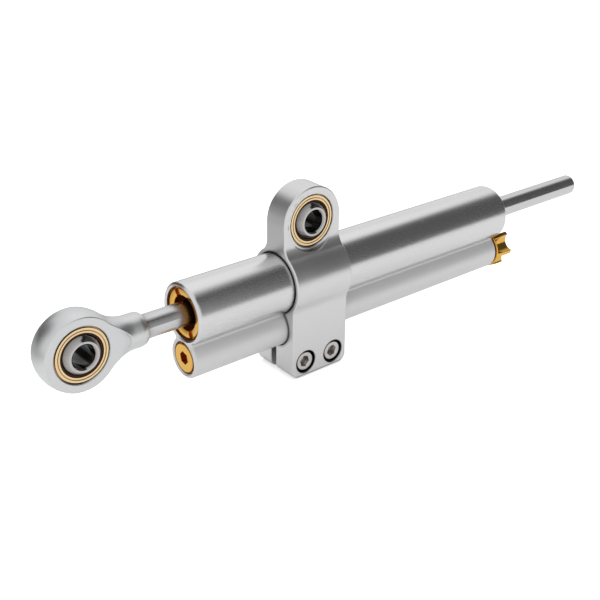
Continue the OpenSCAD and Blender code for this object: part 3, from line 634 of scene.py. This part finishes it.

# Gold anodising on the nuts, the plug and the knob, and the bronzes
# The gold's painted crevice shade turns red-brown, and its crevices glow dark orange as painted bounce light.
metal("gold_anodised", (0.75, 0.44, 0.09), rough=0.16, grain=(3500, 3500, 3500), rough_range=0.04,
      painted_shade_reach=3, powers=(0.5, 1.1, 1.8), deep=(0.07, 0.018, 0.004))
metal("race_bronze", (0.82, 0.62, 0.36), rough=0.26, grain=(2500, 4000, 2500), shade=0.06,
      painted_shade_reach=0.6, powers=(0.6, 0.8, 1.0))
metal("bush_bronze", (0.55, 0.38, 0.2), rough=0.45, grain=(4000, 4000, 4000), shade=0.1)

# Chrome and steel
metal("rod_chrome", (0.58, 0.58, 0.59), rough=0.19, grain=(6000, 40, 40), shade=0.02, rough_range=0.02,
      bump=0.01, height=5e-6, painted_shade_reach=6, powers=(1.6, 2.2, 2.6), drawn=0.97)
metal("ball_chrome", (0.50, 0.485, 0.48), rough=0.12, grain=(5000, 60, 60), shade=0.04, rough_range=0.04,
      bump=0.03, height=5e-6, painted_shade_reach=8, powers=(3.0, 3.0, 3.0))
metal("stainless", (0.60, 0.57, 0.55), rough=0.22, grain=(3000, 3000, 3000), shade=0.08,
      painted_shade_reach=1.5, powers=(1.2, 1.2, 1.2))
metal("inner_steel", (0.5, 0.5, 0.5), rough=0.3, grain=(3000, 3000, 3000))

# Rubber and plastic
metal("seal_rubber", (0.03, 0.03, 0.03), rough=0.6, grain=(3000, 3000, 3000), shade=0.2, metallic=0.0)
metal("liner_polymer", (0.035, 0.012, 0.006), rough=0.6, grain=(2500, 2500, 2500), shade=0.25, metallic=0.0,
      specular=0.2)

# The CAD's own pieces take the material of their slot
slot_of = {s["node"]: s["material_slot"] for s in frame["record"]["subparts"]}
for node, ob in frame["nodes"].items():
    for holder in ob.material_slots:
        holder.material = MATERIALS[slot_of[node]]


# Barrel: the extrusion's outline with chamfered ends, its end faces and its two stepped bores
def barrel_outline(shrink):
    """Points of the section, with y across and z from the main axis, drawn in by shrink."""
    main_steps, fillet_steps, low_steps = 40, 8, 34
    main, low, fillet = BARREL_R - shrink, BYPASS_R - shrink, TUBE_FILLET + shrink
    cy, cz = fillet_centre(main, low, fillet)
    a_main = math.atan2(cz, cy)
    a_low = math.atan2(cz + AXIS_GAP, cy)
    right = []
    for t in np.linspace(math.pi / 2, a_main, main_steps):
        right.append((main * math.cos(t), main * math.sin(t)))
    for t in np.linspace(a_main + math.pi, a_low + math.pi, fillet_steps)[1:-1]:
        right.append((cy + fillet * math.cos(t), cz + fillet * math.sin(t)))
    for t in np.linspace(a_low, -math.pi / 2, low_steps):
        right.append((low * math.cos(t), low * math.sin(t) - AXIS_GAP))
    return right + [(-y, z) for y, z in right[-2:0:-1]]


def ring_of(centre_z, r, steps=72):
    turns = [2 * math.pi * k / steps for k in range(steps)]
    return [(r * math.cos(t), centre_z + r * math.sin(t)) for t in turns]


def main_bore(x, d):
    """Steps (x, radius) of the main bore from the end at x, with d pointing inwards."""
    return [
        (x, NUT_BORE_R + MOUTH_BEVEL),
        (x + d * MOUTH_BEVEL, NUT_BORE_R),
        (x + d * NUT_BORE_DEPTH, NUT_BORE_R),
        (x + d * NUT_BORE_DEPTH, HEAD_BORE_R),
        (x + d * HEAD_BORE_DEPTH, HEAD_BORE_R),
        (x + d * HEAD_BORE_DEPTH, PISTON_BORE_R),
    ]


def low_bore():
    """Steps (x, radius) of the bypass bore, from the plug's mouth past the needle's seat to the cartridge."""
    seat_end = NEEDLE_SEAT_X + NEEDLE_SEAT_L
    cartridge_x = REAR_X - CARTRIDGE_BORE_DEPTH
    return [
        (FRONT_X, LOW_BORE_R + MOUTH_BEVEL),
        (FRONT_X + MOUTH_BEVEL, LOW_BORE_R),
        (FRONT_X + PLUG_BORE_DEPTH, LOW_BORE_R),
        (FRONT_X + PLUG_BORE_DEPTH, CHANNEL_R),
        (NEEDLE_SEAT_X, CHANNEL_R),
        (NEEDLE_SEAT_X, NEEDLE_SEAT_R),
        (seat_end, NEEDLE_SEAT_R),
        (seat_end, NEEDLE_BORE_R),
        (cartridge_x, NEEDLE_BORE_R),
        (cartridge_x, LOW_BORE_R),
        (REAR_X, LOW_BORE_R),
    ]


def build_barrel():
    chamfer, soft = 0.7, 0.18
    face_start, side_start = 0.02, 0.12
    straight_start, straight_loops = 1.6, 24
    points, faces = [], []

    def loop(x, section):
        start = len(points)
        points.extend((x, y, z + MAIN_Z) for y, z in section)
        return list(range(start, len(points)))

    def band(one, two):
        n = len(one)
        faces.extend([one[k], one[(k + 1) % n], two[(k + 1) % n], two[k]] for k in range(n))

    def tube(steps_of, centre_z):
        loops = [loop(x, ring_of(centre_z, r)) for x, r in steps_of]
        for one, two in zip(loops, loops[1:]):
            band(two, one)
        return loops[0], loops[-1]

    # From the end face to the side: how far inwards, and how far the outline is drawn in
    corner = [
        (0, chamfer + 0.6 * soft),
        (0.25 * soft, chamfer - face_start),
        (chamfer - side_start, side_start),
        (chamfer + 0.7 * soft, 0),
    ]
    ends = [[loop(x + d * inwards, barrel_outline(shrink)) for inwards, shrink in corner]
            for x, d in ((FRONT_X, 1), (REAR_X, -1))]
    straight = np.linspace(FRONT_X + straight_start, REAR_X - straight_start, straight_loops)
    between = [loop(x, barrel_outline(0)) for x in straight]
    chain = ends[0] + between + ends[1][::-1]
    for one, two in zip(chain, chain[1:]):
        band(two, one)

    main = tube(main_bore(FRONT_X, 1) + main_bore(REAR_X, -1)[::-1], 0)
    low = tube(low_bore(), -AXIS_GAP)
    for rear, (outer, k) in enumerate(((chain[0], 0), (chain[-1], -1))):
        rings = [outer, main[k], low[k]]
        flat = [[Vector((points[i][1], points[i][2], 0)) for i in ring] for ring in rings]
        order = sum(rings, [])
        for tri in tessellate_polygon(flat):
            a, b, c = (order[i] for i in tri)
            area = ((points[b][1] - points[a][1]) * (points[c][2] - points[a][2])
                    - (points[c][1] - points[a][1]) * (points[b][2] - points[a][2]))
            faces.append([a, b, c] if (area > 0) == (rear == 1) else [a, c, b])
    piece("barrel_tube", points, faces, body="barrel", slot="barrel_aluminium", node="barrel")


build_barrel()


# Carved pieces, each in its own box and with its own grid
def build_clamp():
    foot_z = MAIN_Z + FOOT_Z
    carved("clamp_block", clamp_distance, (-LUG_R, -BULGE_R, foot_z), (LUG_R, BULGE_R, LUG_R), cell=0.34,
           body="clamp", slot="clamp_aluminium", node="clamp")


def build_rod_end():
    r = EYE_HEAD_R
    carved("rod_end_head", rod_end_distance, (EYE_X - r, -r, MAIN_Z - r), (NECK_END_X, r, MAIN_Z + r),
           cell=0.3, body="rod", slot="rod_end_aluminium", node="rod_end")


def build_knob():
    r = KNOB_R
    near, far = KNOB_X, KNOB_X + KNOB_L
    carved("knob_star", knob_distance, (near, -r, BYPASS_Z - r), (far, r, BYPASS_Z + r), cell=0.16,
           body="knob", slot="gold_anodised", node="adjuster_knob")


def build_plug():
    r = LOW_BORE_R
    near, far = FRONT_X + PLUG_SET_BACK, FRONT_X + PLUG_BORE_DEPTH
    carved("plug_face", plug_distance, (near, -r, BYPASS_Z - r), (far, r, BYPASS_Z + r), cell=0.16,
           body="barrel", slot="gold_anodised", node="bypass_plug")


def build_gland_nut(end, mouth_x, d):
    r = NUT_BORE_R - FIT_GAP
    near, far = sorted((mouth_x + d * NUT_SET_BACK, mouth_x + d * NUT_BORE_DEPTH))
    carved(end + "_nut_ring", lambda x, y, z: gland_nut_distance(d * (x - mouth_x), y, z - MAIN_Z),
           (near, -r, MAIN_Z - r), (far, r, MAIN_Z + r), cell=0.22,
           body="barrel", slot="gold_anodised", node=end + "_gland_nut")


def build_clamp_screws():
    """Both screws as one piece, with their sockets turned differently."""
    head_sunk = 0.6
    first_turn, next_turn = 17, 31
    r = SCREW_HEAD_R
    points, quads, normals = surface(screw_distance, (-r, -r, 0), (r, r, SCREW_L), cell=0.14)
    upright = np.array([[1, 0, 0], [0, 0, 1], [0, -1, 0]])
    pair_points, pair_quads, pair_normals = [], [], []
    for k, side in enumerate((-1, 1)):
        turn = math.radians(first_turn + next_turn * k)
        c, s = math.cos(turn), math.sin(turn)
        place = np.array([[c, 0, s], [0, 1, 0], [-s, 0, c]]) @ upright
        pair_points.append(points @ place.T + [side * SCREW_X, -FOOT_HALF_W + head_sunk, SCREW_Z + MAIN_Z])
        pair_quads.append(quads + k * len(points))
        pair_normals.append(normals @ place.T)
    points, quads, normals = (np.concatenate(part) for part in (pair_points, pair_quads, pair_normals))
    piece("clamp_screw_pair", points, quads, body="clamp", slot="stainless", node="clamp_screws",
          normals=normals)


build_clamp()
build_rod_end()
build_knob()
build_plug()
build_gland_nut("front", FRONT_X, 1)
build_gland_nut("rear", REAR_X, -1)
build_clamp_screws()


# Bearings
def arc(r, a, b, steps=17):
    """Points (along, radius) of an arc about the bearing's centre, by the angle from the middle plane."""
    return [(r * math.sin(t), r * math.cos(t)) for t in np.linspace(a, b, steps)]


def build_ball(which, centre, body):
    bore_r, bevel, soft = 4.0, 0.5, 0.1
    half, edge = BALL_HALF_W, math.asin(BALL_HALF_W / BALL_R)
    bore = [(half, bore_r + bevel), (half - bevel, bore_r), (bevel - half, bore_r), (-half, bore_r + bevel)]
    profile = bore + arc(BALL_R, -edge, edge, steps=25)
    turned(which + "_swivel_ball", profile, "y", centre, body, "ball_chrome", which + "_ball", soft)


def build_liner(which, centre, body):
    out_r, in_r, half_w, soft = 8.68, 7.98, 4.2, 0.04
    out_a, in_a = math.asin(half_w / out_r), math.asin(half_w / in_r)
    profile = arc(out_r, -out_a, out_a) + arc(in_r, in_a, -in_a)
    turned(which + "_liner_ring", profile, "y", centre, body, "liner_polymer", which + "_liner", soft)


def build_race(which, centre, body):
    """A race with a rebate round its outer edges and a staking groove in each face."""
    seat_r, soft = 8.72, 0.1
    rebate_depth, rebate_w = 0.6, 0.3
    groove_out_r, groove_in_r, groove_depth = 8.45, 8.15, 0.35
    half, step, floor = RACE_HALF_W, RACE_HALF_W - rebate_depth, RACE_HALF_W - groove_depth
    side = [
        (step, RACE_R),
        (step, RACE_R - rebate_w),
        (half, RACE_R - rebate_w),
        (half, groove_out_r),
        (floor, groove_out_r),
        (floor, groove_in_r),
        (half, groove_in_r),
    ]
    seat_a = math.asin(half / seat_r)
    profile = side + arc(seat_r, seat_a, -seat_a) + [(-a, r) for a, r in side[::-1]]
    turned(which + "_outer_race", profile, "y", centre, body, "race_bronze", which + "_race", soft)


for which, centre, race_body in (("lug", (0, 0, 0), "clamp"), ("eye", (EYE_X, 0, MAIN_Z), "rod")):
    build_ball(which, centre, which + "_ball")
    build_liner(which, centre, which + "_liner")
    build_race(which, centre, race_body)


# Rod, with its stub at the front, the grooves of the piston's clips and its bevelled tail
def build_rod():
    clip_near, clip_far, clip_depth = 5.96, 6.84, 0.6
    tail_bevel, soft, steps = 0.4, 0.1, 80
    stub_x = NECK_END_X - STUB_L
    profile = [(stub_x, 0), (stub_x, STUB_R), (NECK_END_X, STUB_R), (NECK_END_X, ROD_R)]
    for a, b in ((-clip_far, -clip_near), (clip_near, clip_far)):
        start, end, floor = PISTON_X + a, PISTON_X + b, ROD_R - clip_depth
        profile += [(start, ROD_R), (start, floor), (end, floor), (end, ROD_R)]
    profile += [(TAIL_X - tail_bevel, ROD_R), (TAIL_X, ROD_R - tail_bevel), (TAIL_X, 0)]
    turned("rod_bar", profile, "x", (0, 0, MAIN_Z), "rod", "rod_chrome", "rod", soft, steps)


build_rod()


# Stage: floor, light and camera, in metres
def floor_material():
    """White paper that glows a little, with painted shade behind the object that only reflections see."""
    grain, paper_low, paper_high = (900, 900, 900), (0.93, 0.93, 0.93), (0.95, 0.95, 0.95)
    shade_start_y, shade_end_y, shade_depth = 0.04, 0.11, -0.52
    camera_glow, glossy_glow = 0.55, 0.13
    m, tree, shader = nodes_of("floor_paper")
    paper = ramp(tree, noise(tree, grain), paper_low, paper_high)
    path = tree.nodes.new("ShaderNodeLightPath")
    glossy, camera = path.outputs["Is Glossy Ray"], path.outputs["Is Camera Ray"]
    # Painted shadow: reflections see the paper darker from y 0.04 m on, behind the object.
    painted_floor_shade = spread(tree, part_axis(tree, "Y"), 0.0, shade_depth, shade_start_y, shade_end_y)
    shade = calculated(tree, "MULTIPLY_ADD", painted_floor_shade, glossy, 1.0)
    shaded = tree.nodes.new("ShaderNodeVectorMath")
    shaded.operation = "SCALE"
    tree.links.new(paper, shaded.inputs[0])
    tree.links.new(shade, shaded.inputs["Scale"])
    tree.links.new(shaded.outputs[0], shader.inputs["Base Color"])
    shader.inputs["Roughness"].default_value = 1.0
    shader.inputs["Specular IOR Level"].default_value = 0.0
    mirrored = calculated(tree, "MULTIPLY_ADD", glossy, glossy_glow, 0.0)
    seen = calculated(tree, "MULTIPLY_ADD", camera, camera_glow, mirrored)
    shader.inputs["Emission Color"].default_value = (1, 1, 1, 1)
    tree.links.new(calculated(tree, "MULTIPLY", seen, shade), shader.inputs["Emission Strength"])
    return m


def build_floor():
    size, z, steps = 6.0, -0.0575, 12
    row = steps + 1
    places = [size * (i / steps - 0.5) for i in range(row)]
    points = [(x, y, z) for x in places for y in places]
    corners = [i * row + j for i in range(steps) for j in range(steps)]
    quads = [[k, k + row, k + row + 1, k + 1] for k in corners]
    mesh = bpy.data.meshes.new("floor")
    mesh.from_pydata(points, [], quads)
    ob = bpy.data.objects.new("floor", mesh)
    bpy.context.scene.collection.objects.link(ob)
    mesh.materials.append(floor_material())


build_floor()


def build_world():
    """White all round, with three dark flags that only reflections see."""
    dark_low, dark_high, dark_start, dark_end = 0.91, 0.98, 42, 52
    lug_depth, eye_depth = 0.93, 0.9
    white = 0.95
    world = bpy.data.worlds.new("studio")
    bpy.context.scene.world = world
    world.use_nodes = True
    tree = world.node_tree
    back = tree.nodes["Background"]
    where = tree.nodes.new("ShaderNodeTexCoord")
    split = tree.nodes.new("ShaderNodeSeparateXYZ")
    tree.links.new(where.outputs["Generated"], split.inputs[0])
    azimuth = calculated(tree, "ARCTAN2", split.outputs["Y"], split.outputs["X"])
    height = calculated(tree, "ARCSINE", split.outputs["Z"])

    def times(a, b):
        return calculated(tree, "MULTIPLY", a, b)

    def smooth(value, start, end):
        """A share that goes from 0 to 1 between two angles in degrees."""
        n = tree.nodes.new("ShaderNodeMapRange")
        n.interpolation_type = "SMOOTHSTEP"
        n.inputs["From Min"].default_value = math.radians(start)
        n.inputs["From Max"].default_value = math.radians(end)
        tree.links.new(value, n.inputs["Value"])
        return n.outputs["Result"]

    def card(left, right, low, high):
        """A card with soft edges, each edge given by the angles where it is clear and where it is full."""
        edges = ((azimuth, left), (azimuth, right), (height, low), (height, high))
        shares = [smooth(value, *angles) for value, angles in edges]
        return times(times(*shares[:2]), times(*shares[2:]))

    main_card = card(left=(-71, -58), right=(17, -7), low=(-6, 1), high=(63, 56))
    lug_card = card(left=(96, 112), right=(145, 130), low=(-12, 0), high=(47, 37))
    eye_card = card(left=(72, 86), right=(128, 112), low=(-12, 0), high=(32, 14))
    higher = smooth(height, dark_start, dark_end)
    main_depth = calculated(tree, "MULTIPLY_ADD", higher, dark_high - dark_low, dark_low)
    clear = white
    for flag, depth in ((main_card, main_depth), (lug_card, lug_depth), (eye_card, eye_depth)):
        clear = times(clear, calculated(tree, "SUBTRACT", 1.0, times(flag, depth)))
    path = tree.nodes.new("ShaderNodeLightPath")
    mirrored = path.outputs["Is Glossy Ray"]
    plain = calculated(tree, "MULTIPLY_ADD", path.outputs["Is Camera Ray"], 1 - white, white)
    unmirrored = times(plain, calculated(tree, "SUBTRACT", 1.0, mirrored))
    strength = calculated(tree, "ADD", times(clear, mirrored), unmirrored)
    tree.links.new(strength, back.inputs["Strength"])
    back.inputs["Color"].default_value = (1, 1, 1, 1)


build_world()


def build_lamp(name, place, target, size, power):
    lamp = bpy.data.lights.new(name, "AREA")
    lamp.shape, lamp.size, lamp.energy = "DISK", size, power
    ob = bpy.data.objects.new(name, lamp)
    bpy.context.scene.collection.objects.link(ob)
    ob.location = place
    ob.rotation_euler = (Vector(target) - Vector(place)).to_track_quat("-Z", "Y").to_euler()


build_lamp("key", place=(0.53, 0.44, 1.1), target=(0.02, 0, -0.03), size=1.2, power=0.6)


def build_camera():
    """The photograph's camera: its place, its three axes and its focal length in pixels of the frame."""
    frame_pixels, focal_pixels, sensor_mm = 600, 1034.5, 36.0
    place = Vector((-0.21792, -0.25913, 0.13391))
    right = Vector((0.77028, -0.63762, 0.01067))
    up = Vector((0.27390, 0.34591, 0.89740))
    back = Vector((-0.57589, -0.68832, 0.44109))
    data = bpy.data.cameras.new("camera")
    data.sensor_width = sensor_mm
    data.lens = sensor_mm * focal_pixels / frame_pixels
    data.clip_start, data.clip_end = 0.01, 50
    ob = bpy.data.objects.new("camera", data)
    bpy.context.scene.collection.objects.link(ob)
    ob.matrix_world = Matrix.Translation(place) @ Matrix((right, up, back)).transposed().to_4x4()
    bpy.context.scene.camera = ob


build_camera()
bpy.context.scene.view_settings.view_transform = "Standard"
